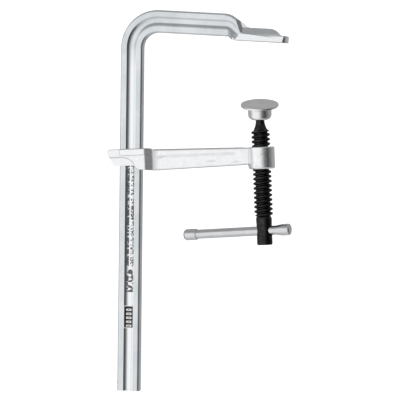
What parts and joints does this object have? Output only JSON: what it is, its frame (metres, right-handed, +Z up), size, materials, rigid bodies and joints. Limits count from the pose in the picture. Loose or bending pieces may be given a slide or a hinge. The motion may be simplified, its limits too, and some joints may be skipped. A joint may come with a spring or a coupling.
{
  "type": "sliding-arm screw clamp",
  "caption": "All-steel sliding-arm clamp: grooved bar bent into a fixed jaw, forged arm that slides on it, screw with swivel pad and tommy bar.",
  "frame": {"origin": "point where the screw's axis meets the clamping face of the fixed jaw", "axes": "+Z up along the rail, +X from the rail towards the screw, +Y completes the right-handed frame"},
  "size_m": [0.1628, 0.0329, 0.3316],
  "materials": {
    "plated_bar": "bright zinc plating",
    "arm_forging": "blasted and plated forging",
    "black_screw": "black oxide, oiled",
    "bar_steel": "satin steel",
    "pad_steel": "turned and zinc plated",
    "spring_steel": "dark spring steel",
    "label_foil": "printed foil"
  },
  "bodies": {
    "bar": {"fixed_bar": "plated_bar", "blank_label": "label_foil"},
    "arm": {"sliding_arm": "arm_forging"},
    "feed": {"swivel_ring": "spring_steel"},
    "screw": {"screw": "black_screw"},
    "tommy": {"tommy_bar": "bar_steel", "left_knob": "bar_steel", "right_knob": "bar_steel"},
    "seat": {"thrust_insert": "spring_steel"},
    "pad": {"pressure_pad": "pad_steel"}
  },
  "joints": [
    {"name": "arm_slide", "type": "slide", "parent": "bar", "child": "arm", "axis": [0, 0, -1], "range_m": [-0.045, 0.184]},
    {"name": "screw_feed", "type": "slide", "parent": "arm", "child": "feed", "axis": [-0.0523, 0, 0.9986], "range_m": [-0.0181, 0.0411]},
    {"name": "screw_turn", "type": "hinge", "parent": "feed", "child": "screw", "pos_m": [0.00326, 0, -0.06211], "axis": [-0.0523, 0, 0.9986], "range_deg": [-1620, 3690]},
    {"name": "bar_slide", "type": "slide", "parent": "screw", "child": "tommy", "axis": [0.9876, -0.1391, 0.0727], "range_m": [-0.0045, 0.0555]},
    {"name": "pad_tilt", "type": "hinge", "parent": "feed", "child": "seat", "pos_m": [0.00326, 0, -0.06211], "axis": [0.955, 0.2924, 0.05], "range_deg": [-35, 0]},
    {"name": "pad_spin", "type": "hinge", "parent": "seat", "child": "pad", "pos_m": [0.00326, 0, -0.06211], "axis": [0.0379, -0.2876, 0.957], "continuous": true}
  ],
  "couplings": [
    {"joint": "screw_feed", "follows": "screw_turn", "m_per_rad": 0.00063662}
  ]
}
